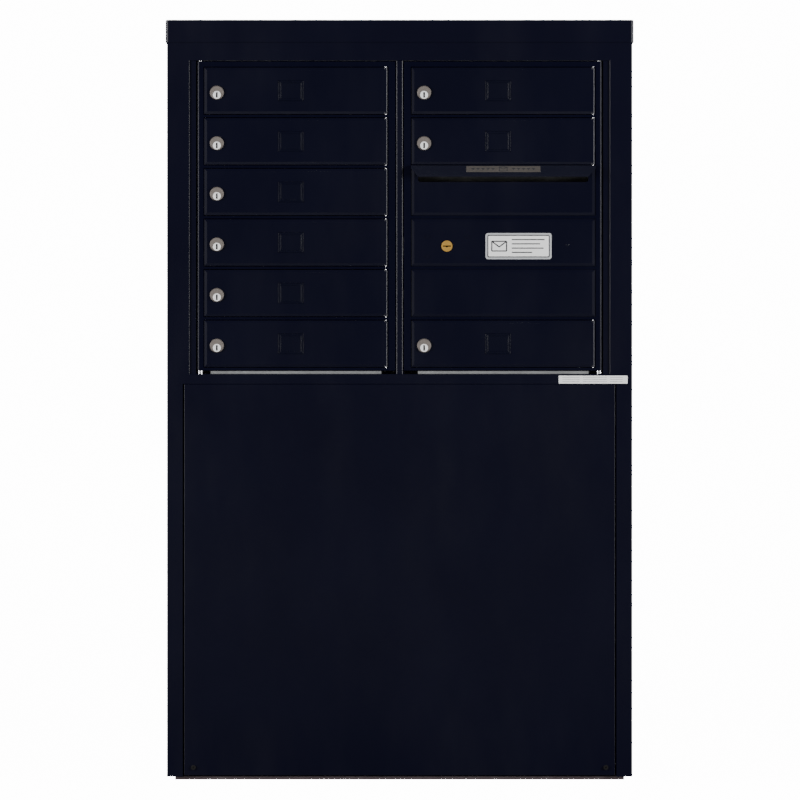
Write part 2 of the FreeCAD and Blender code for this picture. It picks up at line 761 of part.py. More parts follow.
def hinge_pins(sign, lines):
    """The pins that the tenant doors turn on. Each passes through a rail into the doors beside it."""
    made = []
    x = "%scolumn + door_wide / 2 - door_thick" % sign
    for line, above, below in lines:
        low = "%s - bar_tall / 2" % row_line(line)
        high = "%s + bar_tall / 2" % row_line(line)
        reach = "door_gap + hinge_long"
        start = "%s - (%s)" % (low, reach) if below else low
        stop = "%s + %s" % (high, reach) if above else high
        made.append(rod("Z", (x, "hinge_y", start), "hinge_pin", "(%s) - (%s)" % (stop, start)))
    return group(made)


node("left_door_frame", master_frame("-", range(7)))
node("right_door_frame", master_frame("", range(7)))
left_lines = [(0, False, True)] + [(line, True, True) for line in range(1, 6)] + [(6, True, False)]
right_lines = [(0, False, True), (1, True, True), (2, True, False), (5, False, True), (6, True, False)]
node("left_hinge_pins", hinge_pins("-", left_lines))
node("right_hinge_pins", hinge_pins("", right_lines))

# --- fixed panels, hood and baffle of the right master door ----------------------------------------

panel_left = "(column - door_wide / 2)"


def fixed_panel(row):
    """A panel like a door, with a wider step behind it that fills the opening in the frame."""
    middle = row_middle(row)
    body = new_body()
    sides = ("column - door_wide / 2", "column + door_wide / 2")
    levels = ("%s - door_tall / 2" % middle, "%s + door_tall / 2" % middle)
    full = rectangle(sides, levels)
    solid_run(body, "XZ", [full], "door_face + door_bevel_deep", "door_back")
    inner_sides = (sides[0] + " + door_bevel", sides[1] + " - door_bevel")
    inner_levels = (levels[0] + " + door_bevel", levels[1] + " - door_bevel")
    sloped_front(body, full, rectangle(inner_sides, inner_levels))
    step = rectangle(("column - opening_wide / 2", "column + opening_wide / 2"),
                     ("%s - opening_tall / 2" % middle, "%s + opening_tall / 2" % middle))
    solid_run(body, "XZ", [step], "door_back", "panel_back")
    return body


# Outgoing panel with the mail slot.
outgoing = fixed_panel(3)
panel_top = "(%s + door_tall / 2)" % row_middle(3)
slot_z = "(%s - slot_down - slot_tall)" % panel_top
slot_edge = rectangle(("column - slot_wide / 2", "column + slot_wide / 2"), (slot_z, slot_z + " + slot_tall"))
cut_run(outgoing, "XZ", [slot_edge], "door_face - 1", "panel_back + 1")
slot_value = value(slot_z)
slot_half = value("slot_wide / 2")
slot_middle = value("column")


def slot_corner(first, second):
    """The two lower corners of the slot, which run front to back."""
    at_side = near(abs(first.x - slot_middle), slot_half) and near(first.x, second.x)
    return at_side and near(first.z, slot_value) and near(second.z, slot_value)


dress(outgoing, "Fillet", slot_corner, {"Radius": "slot_round"})
node("outgoing_panel", outgoing)

# Hood over the slot: a pressed hood, closed at the top and open below. Its ends slope in towards
# the ends of the slot as it stands out further.
hood = new_body()
hood_top = "(%s + door_tall / 2 + hood_rise)" % row_middle(3)
hood_low = "(%s - hood_tall)" % hood_top
brow = "(door_face - hood_brow)"
nose = "(front - hood_reach)"
hood_seat = panel_top + " + door_gap"
section = [
    ("door_face", hood_low), ("door_face", hood_seat), ("module_front", hood_seat),
    ("module_front", hood_top), (brow, hood_top), (nose, hood_low + " + hood_lip"), (nose, hood_low),
]
hood_left = "(column - hood_wide / 2)"
hood_right = "(column + hood_wide / 2)"
solid_run(hood, "YZ", [section], hood_left, hood_right)
for end, tip in ((hood_left, "(column - slot_wide / 2)"), (hood_right, "(column + slot_wide / 2)")):
    past = end + (" - 1" if end == hood_left else " + 1")
    under = hood_low + " - 1"
    corner = [(end, panel_top), (past, panel_top), (past, under), (tip, under), (tip, hood_low)]
    cut_run(hood, "XZ", [corner], nose + " - 1", "module_front + 1")
hollow = [
    ("door_face + 1", hood_low + " - 1"), ("door_face + 1", panel_top + " - hood_thick"),
    (brow + " + hood_thick", panel_top + " + hood_rise - hood_thick"),
    (nose + " + hood_thick", hood_low + " + hood_lip"), (nose + " + hood_thick", hood_low + " - 1"),
]
cut_run(hood, "YZ", [hollow], "column - slot_wide / 2 + hood_thick", "column + slot_wide / 2 - hood_thick")
node("mail_hood", hood)

# Baffle: a sloping guide behind the slot that keeps hands and hooks out of the mail.
baffle = new_body()
baffle_z = "(%s + slot_tall + baffle_up)" % slot_z
section = [
    ("panel_back", baffle_z), ("panel_back + baffle_deep", baffle_z + " - baffle_drop"),
    ("panel_back + baffle_deep", baffle_z + " - baffle_drop + baffle_thick"),
    ("panel_back + baffle_thick", baffle_z + " + baffle_thick"),
    ("panel_back + baffle_thick", baffle_z + " + baffle_tab"), ("panel_back", baffle_z + " + baffle_tab"),
]
solid_run(baffle, "YZ", [section], "column - slot_wide / 2", "column + slot_wide / 2")
node("outgoing_baffle", baffle)

# Lock panel, its studs and the carrier lock's case.
carrier_x = "(%s + carrier_place)" % panel_left
studs_x = carrier_x + " + stud_shift"
studs_z = carrier_z + " - stud_shift"
stud_places = []
for across in ("- stud_wide / 2", "+ stud_wide / 2"):
    for up in ("- stud_tall / 2", "+ stud_tall / 2"):
        stud_places.append(("%s %s" % (studs_x, across), "%s %s" % (studs_z, up)))
lock_panel = fixed_panel(4)
cut_run(lock_panel, "XZ", [(at, "stud") for at in stud_places], "door_face - 1", "panel_back + 1")
plug_hole = ((carrier_x, carrier_z), "carrier_plug + carrier_fit")
cut_run(lock_panel, "XZ", [plug_hole], "door_face - 1", "panel_back + 1")
node("lock_panel", lock_panel)
node("blank_panel", fixed_panel(5))

case_box = (studs_x + " - case_wide / 2", studs_x + " + case_wide / 2")
case_up = (studs_z + " - case_tall / 2", studs_z + " + case_tall / 2")
shell = block(case_box, ("panel_back", "case_back"), case_up)
room = block((case_box[0] + " + case_wall", case_box[1] + " - case_wall"),
             ("panel_back + case_wall", "case_back - case_wall"),
             (case_up[0] + " + case_wall", case_up[1] + " - case_wall"))
bore_at = (carrier_x, "panel_back - 1", carrier_z)
plug_bore = rod("Y", bore_at, "carrier_plug + carrier_fit", "case_wall + 2")
bolt_low = carrier_z + " - bolt_tall / 2"
bolt_high = carrier_z + " + drive_arm + drive_pin + drive_play + bolt_web"
bolt_hole = block((case_box[0] + " - 1", case_box[0] + " + case_wall + 1"),
                  ("bolt_front - bolt_play", "bolt_back + bolt_play"),
                  (bolt_low + " - bolt_play", bolt_high + " + bolt_play"))
holes = [room, plug_bore, bolt_hole]
for x, z in stud_places:
    holes.append(rod("Y", (x, "panel_back - 1", z), "stud", "case_back - panel_back + 2"))
node("carrier_lock_case", less(shell, holes))

studs = []
for x, z in stud_places:
    head = rod("Y", (x, "door_face - stud_head_tall", z), "stud_head", "stud_head_tall")
    shank = rod("Y", (x, "door_face", z), "stud", "case_back + nut_thick - door_face")
    nut = hexagon("Y", (x, "case_back", z), "stud_nut", "stud_nut_tall")
    studs.append(joined([head, shank, nut]))
node("lock_case_studs", group(studs))

# Carrier plug: a brass cylinder with a drive disc and a pin that throws the bolt.
plug_face = "(door_face - carrier_proud)"
disc_front = "(panel_back + case_wall + disc_gap)"
drive = "drive_arm / sqrt(2)"
barrel = rod("Y", (carrier_x, plug_face, carrier_z), "carrier_plug", "%s - %s" % (disc_front, plug_face))
disc = rod("Y", (carrier_x, disc_front, carrier_z), "disc", "disc_thick")
pin_at = ("%s + %s" % (carrier_x, drive), disc_front, "%s + %s" % (carrier_z, drive))
pin = rod("Y", pin_at, "drive_pin", "bolt_back - pin_short - %s" % disc_front)
slot = block((carrier_x + " - carrier_slot_wide / 2", carrier_x + " + carrier_slot_wide / 2"),
             (plug_face + " - 1", plug_face + " + keyway_deep"),
             (carrier_z + " - carrier_slot_tall / 2", carrier_z + " + carrier_slot_tall / 2"))
notch_at = (carrier_x, plug_face + " - 1", carrier_z + " - carrier_slot_tall / 2")
notch = rod("Y", notch_at, "carrier_notch", "keyway_deep")
node("carrier_plug", less(joined([barrel, disc, pin]), [slot, notch]))

# Carrier bolt: a bar with a slot for the drive pin, drawn back from the stile at rest.
bolt_tip = "(frame_inner + stile_wide + bolt_rest)"
bar = block((bolt_tip, bolt_tip + " + bolt_long"), ("bolt_front", "bolt_back"), (bolt_low, bolt_high))
pin_slot = block(("%s + %s - drive_pin - drive_play" % (carrier_x, drive),
                  "%s + %s + drive_pin + drive_play" % (carrier_x, drive)),
                 ("bolt_front - 1", "bolt_back + 1"),
                 ("%s + %s - drive_pin - drive_play" % (carrier_z, drive),
                  carrier_z + " + drive_arm + drive_pin + drive_play"))
node("carrier_bolt", less(bar, [pin_slot]))

# Release bolt of the left master door: a bar with a knob, drawn back from the door at rest.
rod_low = "%s - release_tall / 2" % release_z
rod_high = "%s + release_tall / 2" % release_z
release_start = "-(%s - release_tip)" % half_nose
release_stop = guide_side + " + bolt_throw + knob_gap"
release_bar = block((release_start, release_stop), ("bolt_front", "bolt_back"), (rod_low, rod_high))
knob = rod("X", (release_stop, "bolt_back - knob / 2", release_z), "knob", "knob_long")
node("release_bolt", joined([release_bar, knob]))

# --- tenant doors and their locks ------------------------------------------------------------------

doors = [("-", row) for row in range(1, 7)] + [("", row) for row in (1, 2, 6)]
for number, (sign, row) in enumerate(doors, start=1):
    middle_x = "%scolumn" % sign
    middle_z = row_middle(row)
    low = "%s - door_tall / 2" % middle_z
    high = "%s + door_tall / 2" % middle_z
    left = "(%s - door_wide / 2)" % middle_x
    right = "(%s + door_wide / 2)" % middle_x
    hinge_x = "(%s - door_thick)" % right
    lock_x = "(%s + lock_edge)" % left
    lock_z = "(%s - lock_drop)" % middle_z
    plug_z = "(%s - plug_drop)" % lock_z

    # Door: an extruded plate with a round barrel along its hinge edge and bevelled free edges.
    door = new_body()
    full = rectangle((left, hinge_x), (low, high))
    solid_run(door, "XZ", [full], "door_face + door_bevel_deep", "door_back")
    drawn_in = rectangle((left + " + door_bevel", hinge_x), (low + " + door_bevel", high + " - door_bevel"))
    sloped_front(door, full, drawn_in)
    solid_run(door, "XY", [((hinge_x, "hinge_y"), "door_thick")], low, high)
    ends = ((low + " - 1", low + " + hinge_long + 1"), (high + " - hinge_long - 1", high + " + 1"))
    for start, stop in ends:
        cut_run(door, "XY", [((hinge_x, "hinge_y"), "hinge_pin + running_fit")], start, stop)
    cut_run(door, "XZ", [((lock_x, lock_z), "barrel")], "door_face - 1", "door_back + 1")
    tag_x = "(%s + number_place)" % left
    tag = rectangle((tag_x + " - number_wide / 2", tag_x + " + number_wide / 2"),
                    (middle_z + " - number_tall / 2", middle_z + " + number_tall / 2"))
    cut_run(door, "XZ", [tag], "door_face - 1", "door_face + number_deep")
    node("tenant_door_%d" % number, door)

    # Lock housing: a round bezel and a barrel through the door, held by a hexagon nut behind it.
    bezel_face = "(door_face - bezel_tall)"
    bezel = doc.addObject("Part::Cone", "bezel")
    bezel.Placement = FreeCAD.Placement(FreeCAD.Vector(), AXIS_TURN["Y"])
    bind(bezel, {"Radius1": "bezel - bezel_slope", "Radius2": "bezel", "Height": "bezel_tall"})
    put(bezel, lock_x, bezel_face, lock_z)
    barrel = rod("Y", (lock_x, "door_face", lock_z), "barrel", "frame_back - door_face")
    sink = rod("Y", (lock_x, bezel_face + " - 1", plug_z), "plug_face + running_fit", "plug_face_deep + 1")
    stem_long = "frame_back + 1 - %s" % bezel_face
    bore = rod("Y", (lock_x, bezel_face, plug_z), "plug_stem + running_fit", stem_long)
    housing = less(joined([bezel, barrel]), [sink, bore])
    nut = less(hexagon("Y", (lock_x, "door_back", lock_z), "nut_flats / sqrt(3)", "nut_thick"),
               [rod("Y", (lock_x, "door_back - 1", lock_z), "barrel", "nut_thick + 2")])
    node("lock_housing_%d" % number, group([housing, nut]))

    # Plug and cam: the cam hangs down clear of the frame at rest, and a quarter turn locks it.
    disc_face = "(%s - plug_proud)" % bezel_face
    disc = rod("Y", (lock_x, disc_face, plug_z), "plug_face", "plug_face_deep + plug_proud - plug_gap")
    stem = rod("Y", (lock_x, disc_face, plug_z), "plug_stem", "cam_front + cam_thick - %s" % disc_face)
    key = block((lock_x + " - keyway_wide / 2", lock_x + " + keyway_wide / 2"),
                (disc_face + " - 1", disc_face + " + keyway_deep"),
                (plug_z + " - keyway_tall / 2", plug_z + " + keyway_tall / 2"))
    plug = less(joined([disc, stem]), [key])
    arm_sides = (lock_x + " - cam_wide / 2", lock_x + " + cam_wide / 2")
    arm = block(arm_sides, ("cam_front", "cam_front + cam_thick"), (plug_z + " - cam_reach", plug_z))
    heel = rod("Y", (lock_x, "cam_front", plug_z), "cam_wide / 2", "cam_thick")
    eye = rod("Y", (lock_x, "cam_front - 1", plug_z), "plug_stem", "cam_thick + 2")
    cam = less(joined([arm, heel]), [eye])
    cam_nut = hexagon("Y", (lock_x, "cam_front + cam_thick", plug_z), "cam_wide / 2", "nut_thick / 2")
    node("lock_plug_%d" % number, group([plug, cam, cam_nut]))

# --- check everything, then write one file per sub-part --------------------------------------------

doc.recompute()
faults = [thing.Name for thing in doc.Objects if "Invalid" in thing.State or "Error" in thing.State]
for thing in nodes:
    if thing.Shape.isNull() or not thing.Shape.isValid() or not thing.Shape.Solids:
        faults.append(thing.Label)
if faults:
    raise ValueError("these objects failed: " + ", ".join(faults))
os.makedirs("parts", exist_ok=True)
for thing in nodes:
    thing.Shape.exportStep("parts/%s.step" % thing.Label)
print(len(nodes), "sub-parts written")
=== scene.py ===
import bpy
import numpy as np
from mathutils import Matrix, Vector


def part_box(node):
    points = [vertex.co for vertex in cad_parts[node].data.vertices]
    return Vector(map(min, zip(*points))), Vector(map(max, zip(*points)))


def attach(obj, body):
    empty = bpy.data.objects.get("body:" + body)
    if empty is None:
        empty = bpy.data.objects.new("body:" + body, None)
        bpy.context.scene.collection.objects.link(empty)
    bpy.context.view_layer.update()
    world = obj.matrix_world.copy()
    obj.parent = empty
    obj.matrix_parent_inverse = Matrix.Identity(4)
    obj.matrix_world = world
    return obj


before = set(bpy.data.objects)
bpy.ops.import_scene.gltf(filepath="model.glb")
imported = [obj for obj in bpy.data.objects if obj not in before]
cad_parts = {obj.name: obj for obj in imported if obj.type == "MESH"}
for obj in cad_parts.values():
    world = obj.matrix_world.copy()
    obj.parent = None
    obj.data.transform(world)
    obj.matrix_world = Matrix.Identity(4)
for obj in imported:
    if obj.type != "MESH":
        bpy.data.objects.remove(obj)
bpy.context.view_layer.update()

# --- The view: a level camera square to the doors, with a long lens, so the sides stay hidden.
# White paper sweeps up behind the unit into a wall. Soft panels light the unit from above, from both
# sides and from low in front.

FRONT_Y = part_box("front_surround")[0][1]
VIEW_MIDDLE = (0.0007, 0.6677)
VIEW_WIDE = 1.4056
VIEW_AWAY = 14.0
VIEW_REACH = 60
SENSOR = 36.0

camera = bpy.data.objects.new("camera", bpy.data.cameras.new("camera"))
camera.data.sensor_width = SENSOR
camera.data.lens = SENSOR * VIEW_AWAY / VIEW_WIDE
camera.data.clip_end = VIEW_REACH
camera.location = (VIEW_MIDDLE[0], FRONT_Y - VIEW_AWAY, VIEW_MIDDLE[1])
camera.rotation_euler = (np.pi / 2, 0, 0)
bpy.context.scene.collection.objects.link(camera)
bpy.context.scene.camera = camera


class Value:
    """A node's output socket that can be added to, subtracted from and multiplied in plain expressions."""

    def __init__(self, finish, socket):
        self.finish, self.socket = finish, socket

    def math(self, operation, other, clamp=False):
        settings = {"operation": operation, "use_clamp": clamp}
        return self.finish.node("ShaderNodeMath", settings, {0: self, 1: other})

    def __add__(self, other):
        return self.math("ADD", other)

    def __sub__(self, other):
        return self.math("SUBTRACT", other)

    def __mul__(self, other):
        return self.math("MULTIPLY", other)

    def above(self, level, soft):
        """0 below the level and 1 above it, with a soft step between them."""
        return ((self - (level - soft / 2)) * (1 / soft)).math("ADD", 0.0, clamp=True)


class Finish:
    """One material: its node tree, its shader and the texture nodes that feed it."""

    def __init__(self, name, **constants):
        self.material = bpy.data.materials.new(name)
        self.material.use_nodes = True
        self.tree = self.material.node_tree
        self.shader = self.tree.nodes["Principled BSDF"]
        for socket, number in constants.items():
            self.shader.inputs[socket.replace("_", " ")].default_value = number
        self.place = self.node("ShaderNodeTexCoord", {}, {}, "Object")

    def node(self, kind, settings, inputs, output=0):
        made = self.tree.nodes.new(kind)
        for name, setting in settings.items():
            setattr(made, name, setting)
        for name, value in inputs.items():
            if isinstance(value, Value):
                self.tree.links.new(value.socket, made.inputs[name])
            else:
                made.inputs[name].default_value = value
        return Value(self, made.outputs[output])

    def noise(self, scale, detail=2.0, rough=0.5, stretch=(1, 1, 1)):
        """Cloud noise over the object's own coordinates, stretched along the axes."""
        place = self.node("ShaderNodeMapping", {}, {"Vector": self.place, "Scale": stretch})
        inputs = {"Vector": place, "Scale": scale, "Detail": detail, "Roughness": rough}
        return self.node("ShaderNodeTexNoise", {}, inputs, "Fac")

    def blend(self, factor, first, second):
        """One colour or the other, by the factor."""
        inputs = {"Factor": factor, "A": first, "B": second}
        made = self.tree.nodes.new("ShaderNodeMix")
        made.data_type = "RGBA"
        colour_inputs = {"Factor": made.inputs[0], "A": made.inputs[6], "B": made.inputs[7]}
        for name, value in inputs.items():
            if isinstance(value, Value):
                self.tree.links.new(value.socket, colour_inputs[name])
            elif name == "Factor":
                colour_inputs[name].default_value = value
            else:
                colour_inputs[name].default_value = (*value, 1)
        return Value(self, made.outputs[2])

    def behind(self, face, soft):
        """0 in front of a level on Y and 1 behind it."""
        return self.node("ShaderNodeSeparateXYZ", {}, {"Vector": self.place}, "Y").above(face + soft, soft)

    def set(self, socket, value):
        self.tree.links.new(value.socket, self.shader.inputs[socket])

    def bump(self, height, deep):
        """Relief: the height socket times a depth in metres."""
        inputs = {"Height": height, "Distance": deep, "Strength": 1.0}
        self.set("Normal", self.node("ShaderNodeBump", {}, inputs))


def dress(names, finish):
    """Give a finish to CAD nodes."""
    for name in names:
        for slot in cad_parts[name].material_slots:
            slot.material = finish.material


SWEEP_FRONT, SWEEP_START, SWEEP_ROUND, SWEEP_TALL, SWEEP_WIDE = -9.0, 2.2, 1.6, 5.0, 12.0
SWEEP_STEPS = 24
PAPER_GLOW = 14.0
AIR_GLOW = 0.16


def sweep_surface():
    """A profile carried along X: flat floor, a quarter circle, then a wall straight up."""
    turn = np.linspace(0, np.pi / 2, SWEEP_STEPS)
    bend_y = SWEEP_START + SWEEP_ROUND * np.sin(turn)
    bend_z = SWEEP_ROUND * (1 - np.cos(turn))
    y = np.concatenate([[SWEEP_FRONT], bend_y, [SWEEP_START + SWEEP_ROUND]])
    z = np.concatenate([[0.0], bend_z, [SWEEP_TALL]])
    x = np.array([-SWEEP_WIDE, SWEEP_WIDE])
    points = np.stack([np.repeat(x, len(y)), np.tile(y, 2), np.tile(z, 2)], axis=1)
    step = np.arange(len(y) - 1)
    faces = np.stack([step, step + len(y), step + len(y) + 1, step + 1], axis=1)
    return points, faces


points, faces = sweep_surface()
floor_mesh = bpy.data.meshes.new("studio_sweep")
floor_mesh.from_pydata(points.tolist(), [], faces.tolist())
floor_mesh.shade_smooth()
studio = bpy.data.objects.new("studio_sweep", floor_mesh)
bpy.context.scene.collection.objects.link(studio)
paper = Finish("studio_paper", Roughness=0.9, Emission_Color=(1, 1, 1, 1), Emission_Strength=PAPER_GLOW)
floor_mesh.materials.append(paper.material)
# Only the camera sees the paper, so that it doesn't light the dark coats.
studio.visible_diffuse = False
studio.visible_glossy = False


def soft_panel(name, place, aim, wide, tall, power):
    """An area lamp that looks at a point."""
    lamp = bpy.data.lights.new(name, "AREA")
    lamp.shape, lamp.size, lamp.size_y, lamp.energy = "RECTANGLE", wide, tall, power
    holder = bpy.data.objects.new(name, lamp)
    holder.location = place
    away = np.array(aim) - np.array(place)
    length = np.linalg.norm(away)
    holder.rotation_euler = (np.arccos(-away[2] / length), 0, np.arctan2(away[1], away[0]) - np.pi / 2)
    bpy.context.scene.collection.objects.link(holder)


soft_panel("top_panel", (0, 0.2, 3.6), (0, 0, 0.9), 2.6, 1.0, 30)
soft_panel("left_fill", (-3.6, -1.9, 1.3), (0, 0, 0.9), 1.2, 2.2, 220)
soft_panel("left_panel", (-2.9, -4.2, 0.9), (0, 0, 0.8), 1.2, 2.4, 9)
soft_panel("right_fill", (3.6, -1.9, 1.3), (0, 0, 0.9), 1.2, 2.2, 230)
soft_panel("low_panel", (0, -2.6, 0.03), (0, -2.599, 1.0), 3.0, 1.0, 10)
world = bpy.data.worlds.new("studio_air")
world.use_nodes = True
world.node_tree.nodes["Background"].inputs["Color"].default_value = (1, 1, 1, 1)
world.node_tree.nodes["Background"].inputs["Strength"].default_value = AIR_GLOW
bpy.context.scene.world = world

# --- Cabinet: folded steel sheet, powder-coated a blue-black. The coat has a fine orange peel, a
# faintly cloudy tone and slight changes of gloss. Cap, back, module sides and partition share it.

COAT = (0.0011, 0.0012, 0.0080)
COAT_WORN = (0.0017, 0.0019, 0.0098)


def powder_coat(name, dark, light, rough, peel_deep, shine=0.22):
    """Powder coat: cloudy tone, uneven gloss, and orange peel from fine noise over a slow swell."""
    coat = Finish(name, Metallic=0.0)
    coat.shader.inputs["Specular IOR Level"].default_value = shine
    cloud = coat.noise(5.0, 4.0, 0.55)
    fleck = coat.noise(900.0, 1.0)
    tone = (cloud * 0.7 + fleck * 0.3).above(0.5, 0.35)
    coat.set("Base Color", coat.blend(tone, dark, light))
    smudge = coat.noise(11.0, 3.0, 0.6, (1, 1, 0.35)).above(0.56, 0.3)
    coat.set("Roughness", smudge * 0.1 + rough)
    peel = coat.noise(520.0, 2.0, 0.45)
    coat.bump(peel, peel_deep)
    return coat


body_coat = powder_coat("blue_black_powder_coat", COAT, COAT_WORN, 0.31, 0.00005)
dress(["front_surround", "lower_front_panel", "top_cap", "side_panel_left", "side_panel_right"], body_coat)
dress(["back_panel", "module_side_left", "module_side_right", "centre_partition"], body_coat)

# Base plate: hot-rolled steel in a grey-brown primer, scuffed where it is handled and set down.

PRIMER = (0.17, 0.128, 0.142)
PRIMER_SCUFFED = (0.22, 0.178, 0.19)
primer = Finish("grey_brown_primer", Metallic=0.0)
scuff = primer.noise(60.0, 5.0, 0.65, (0.4, 1, 1)).above(0.57, 0.12)
primer.set("Base Color", primer.blend(scuff, PRIMER, PRIMER_SCUFFED))
primer.set("Roughness", scuff * 0.15 + 0.55)
primer.bump(primer.noise(300.0, 3.0), 0.00006)
dress(["base_plate"], primer)

# --- Pivot pins and hinge pins: turned stainless steel, with fine rings from the lathe and an uneven
# gloss. The master doors and the tenant doors turn on them.

stainless = Finish("turned_stainless", Metallic=1.0)
ring = stainless.noise(700.0, 2.0, 0.5, (1, 0.1, 1))
stainless.set("Base Color", stainless.blend(ring, (0.42, 0.42, 0.43), (0.62, 0.62, 0.63)))
stainless.set("Roughness", ring * 0.2 + 0.22)
stainless.bump(ring, 0.00002)
dress(["master_pivot_pins", "left_hinge_pins", "right_hinge_pins"], stainless)

# Cabinet screws: blackened steel, a little paler in the patches where tools have rubbed it.

blackened = Finish("blackened_screws", Metallic=0.8)
rubbed = blackened.noise(350.0, 3.0)
blackened.set("Base Color", blackened.blend(rubbed, (0.012, 0.012, 0.014), (0.045, 0.044, 0.044)))
blackened.set("Roughness", rubbed * 0.2 + 0.34)
blackened.bump(rubbed, 0.00002)
dress(["cabinet_screws"], blackened)

# The heads of the lock case's studs show on the panel, and are coated over with it.

dress(["lock_case_studs"], body_coat)

# --- Module sheets, trays, sills and baffle: mill-finish aluminium with its rolling lines running
# front to back, dulled by a thin oxide.

mill_aluminium = Finish("mill_aluminium", Metallic=1.0)
rolled = mill_aluminium.noise(240.0, 3.0, 0.6, (1, 0.03, 1))
oxide = mill_aluminium.noise(14.0, 4.0, 0.6)
mill_aluminium.set("Base Color", mill_aluminium.blend(oxide, (0.50, 0.51, 0.52), (0.66, 0.67, 0.68)))
mill_aluminium.set("Roughness", rolled * 0.16 + oxide * 0.14 + 0.24)
mill_aluminium.bump(rolled, 0.00003)
dress(["module_wrap", "sill_strips", "compartment_trays", "outgoing_baffle"], mill_aluminium)

# Carrier bolt, its case, the release bolt, their guides and the shelf under the module: zinc-plated
# steel with the faint crystal patches of plating.

zinc = Finish("zinc_plate", Metallic=1.0)
cells = zinc.node("ShaderNodeTexVoronoi", {}, {"Vector": zinc.place, "Scale": 190.0}, "Distance")
stain = zinc.noise(30.0, 3.0)
zinc.set("Base Color", zinc.blend(stain * 0.6 + cells * 0.5, (0.40, 0.41, 0.43), (0.60, 0.60, 0.58)))
zinc.set("Roughness", cells * 0.2 + 0.28)
zinc.bump(cells, 0.00003)
dress(["support_shelf", "bolt_keeper", "release_guide"], zinc)
dress(["carrier_lock_case", "carrier_bolt", "release_bolt"], zinc)

# --- Master door frames: stiles and rails in the cabinet's coat, duller, and painted a little paler
# to stand for the light their angled faces catch.

FRAME_SHINE = 0.08
FRAME_COAT_LIT = (0.0016, 0.0018, 0.0084)
FRAME_COAT_LIT_PALE = (0.0024, 0.0027, 0.0102)
frame_coat = powder_coat("door_frame_coat", FRAME_COAT_LIT, FRAME_COAT_LIT_PALE, 0.30, 0.00004, FRAME_SHINE)
dress(["left_door_frame", "right_door_frame"], frame_coat)

# --- Tenant doors and the fixed panels beside them: thick plates with bevelled edges, coated
# blue-black, with faint patches of a different gloss.

DOORS = [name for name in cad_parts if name.startswith("tenant_door_")]
door_coat = powder_coat("door_coat", (0.0012, 0.0014, 0.0082), (0.0018, 0.0021, 0.0100), 0.28, 0.00004)
dress(DOORS + ["outgoing_panel", "lock_panel", "blank_panel"], door_coat)

# Hood over the mail slot: pressed steel in the doors' coat, painted a shade paler to stand for the light
# its sloping top catches.

hood_painted_light_coat = powder_coat("hood_painted_light_coat", (0.0042, 0.0046, 0.0120), (0.0056, 0.0061, 0.0145), 0.32, 0.00004)
dress(["mail_hood"], hood_painted_light_coat)


def place_of(name):
    """Low corner, high corner and middle of a CAD node."""
    low, high = (np.array(corner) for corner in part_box(name))
    return low, high, (low + high) / 2


def add_piece(name, points, faces, finish, body):
    """Make a mesh piece that rides on a CAD body."""
    mesh = bpy.data.meshes.new(name)
    mesh.from_pydata(np.asarray(points).tolist(), [], faces)
    mesh.materials.append(finish.material)
    piece = bpy.data.objects.new(name, mesh)
    bpy.context.scene.collection.objects.link(piece)
    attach(piece, body)
    return piece


def rounded_outline(wide, tall, corner, steps=8):
    """Anticlockwise outline of a rounded rectangle, seen from the front: four quarter circles."""
    turn = np.linspace(0, np.pi / 2, steps)
    quarter = np.stack([np.cos(turn), np.sin(turn)], axis=1) * corner
    runs = []
    for k, (sx, sz) in enumerate(((1, 1), (-1, 1), (-1, -1), (1, -1))):
        c, s = np.cos(k * np.pi / 2), np.sin(k * np.pi / 2)
        turned = quarter @ np.array([[c, s], [-s, c]])
        runs.append(turned + [sx * (wide / 2 - corner), sz * (tall / 2 - corner)])
    return np.concatenate(runs)


SHARPEST = 0.0001


def plate_surface(middle, wide, tall, corner, rings):
    """A closed plate facing -Y. Each ring is the rounded outline drawn in by an inset, standing a
    height in front of the seat; the first and last rings are closed with one face each."""
    loops = []
    for inset, height in rings:
        outline = rounded_outline(wide - 2 * inset, tall - 2 * inset, max(corner - inset, SHARPEST))
        level = np.full(len(outline), middle[1] - height)
        loops.append(np.stack([middle[0] + outline[:, 0], level, middle[2] + outline[:, 1]], axis=1))
    count = len(loops[0])
    around = np.arange(count)
    after = (around + 1) % count
    faces = []
    for k in range(len(loops) - 1):
        a, b = k * count, (k + 1) * count
        faces += np.stack([a + around, b + around, b + after, a + after], axis=1).tolist()
    faces.append(around.tolist())
    faces.append((around[::-1] + (len(loops) - 1) * count).tolist())
    return np.concatenate(loops), faces


# --- Number plates: a pressed plate with a double rim, set in the shallow recess of each tenant
# door and coated with it. They are left blank.

NUMBER_WIDE, NUMBER_TALL, NUMBER_CORNER, NUMBER_PLACE = 0.0446, 0.0366, 0.002, 0.152
NUMBER_RINGS = (
    (0.0062, 0.00035), (0.0052, 0.00035), (0.0047, 0.00085), (0.0041, 0.00085), (0.0036, 0.00040),
    (0.0014, 0.00040), (0.0009, 0.00100), (0.0003, 0.00100), (0.0, 0.0007), (0.0, 0.0),
)
RECESS, NUMBER_PROUD = 0.0005, 0.00002
PLATE_COAT = (0.0016, 0.0019, 0.0084)
PLATE_COAT_PALE = (0.0024, 0.0028, 0.0102)
plate_coat = powder_coat("number_plate_coat", PLATE_COAT, PLATE_COAT_PALE, 0.24, 0.00002)
for name in DOORS:
    low, _, middle = place_of(name)
    seat = (low[0] + NUMBER_PLACE, low[1] + RECESS - NUMBER_PROUD, middle[2])
    points, faces = plate_surface(seat, NUMBER_WIDE, NUMBER_TALL, NUMBER_CORNER, NUMBER_RINGS)
    add_piece("number_plate_" + name[-1], points, faces, plate_coat, name)
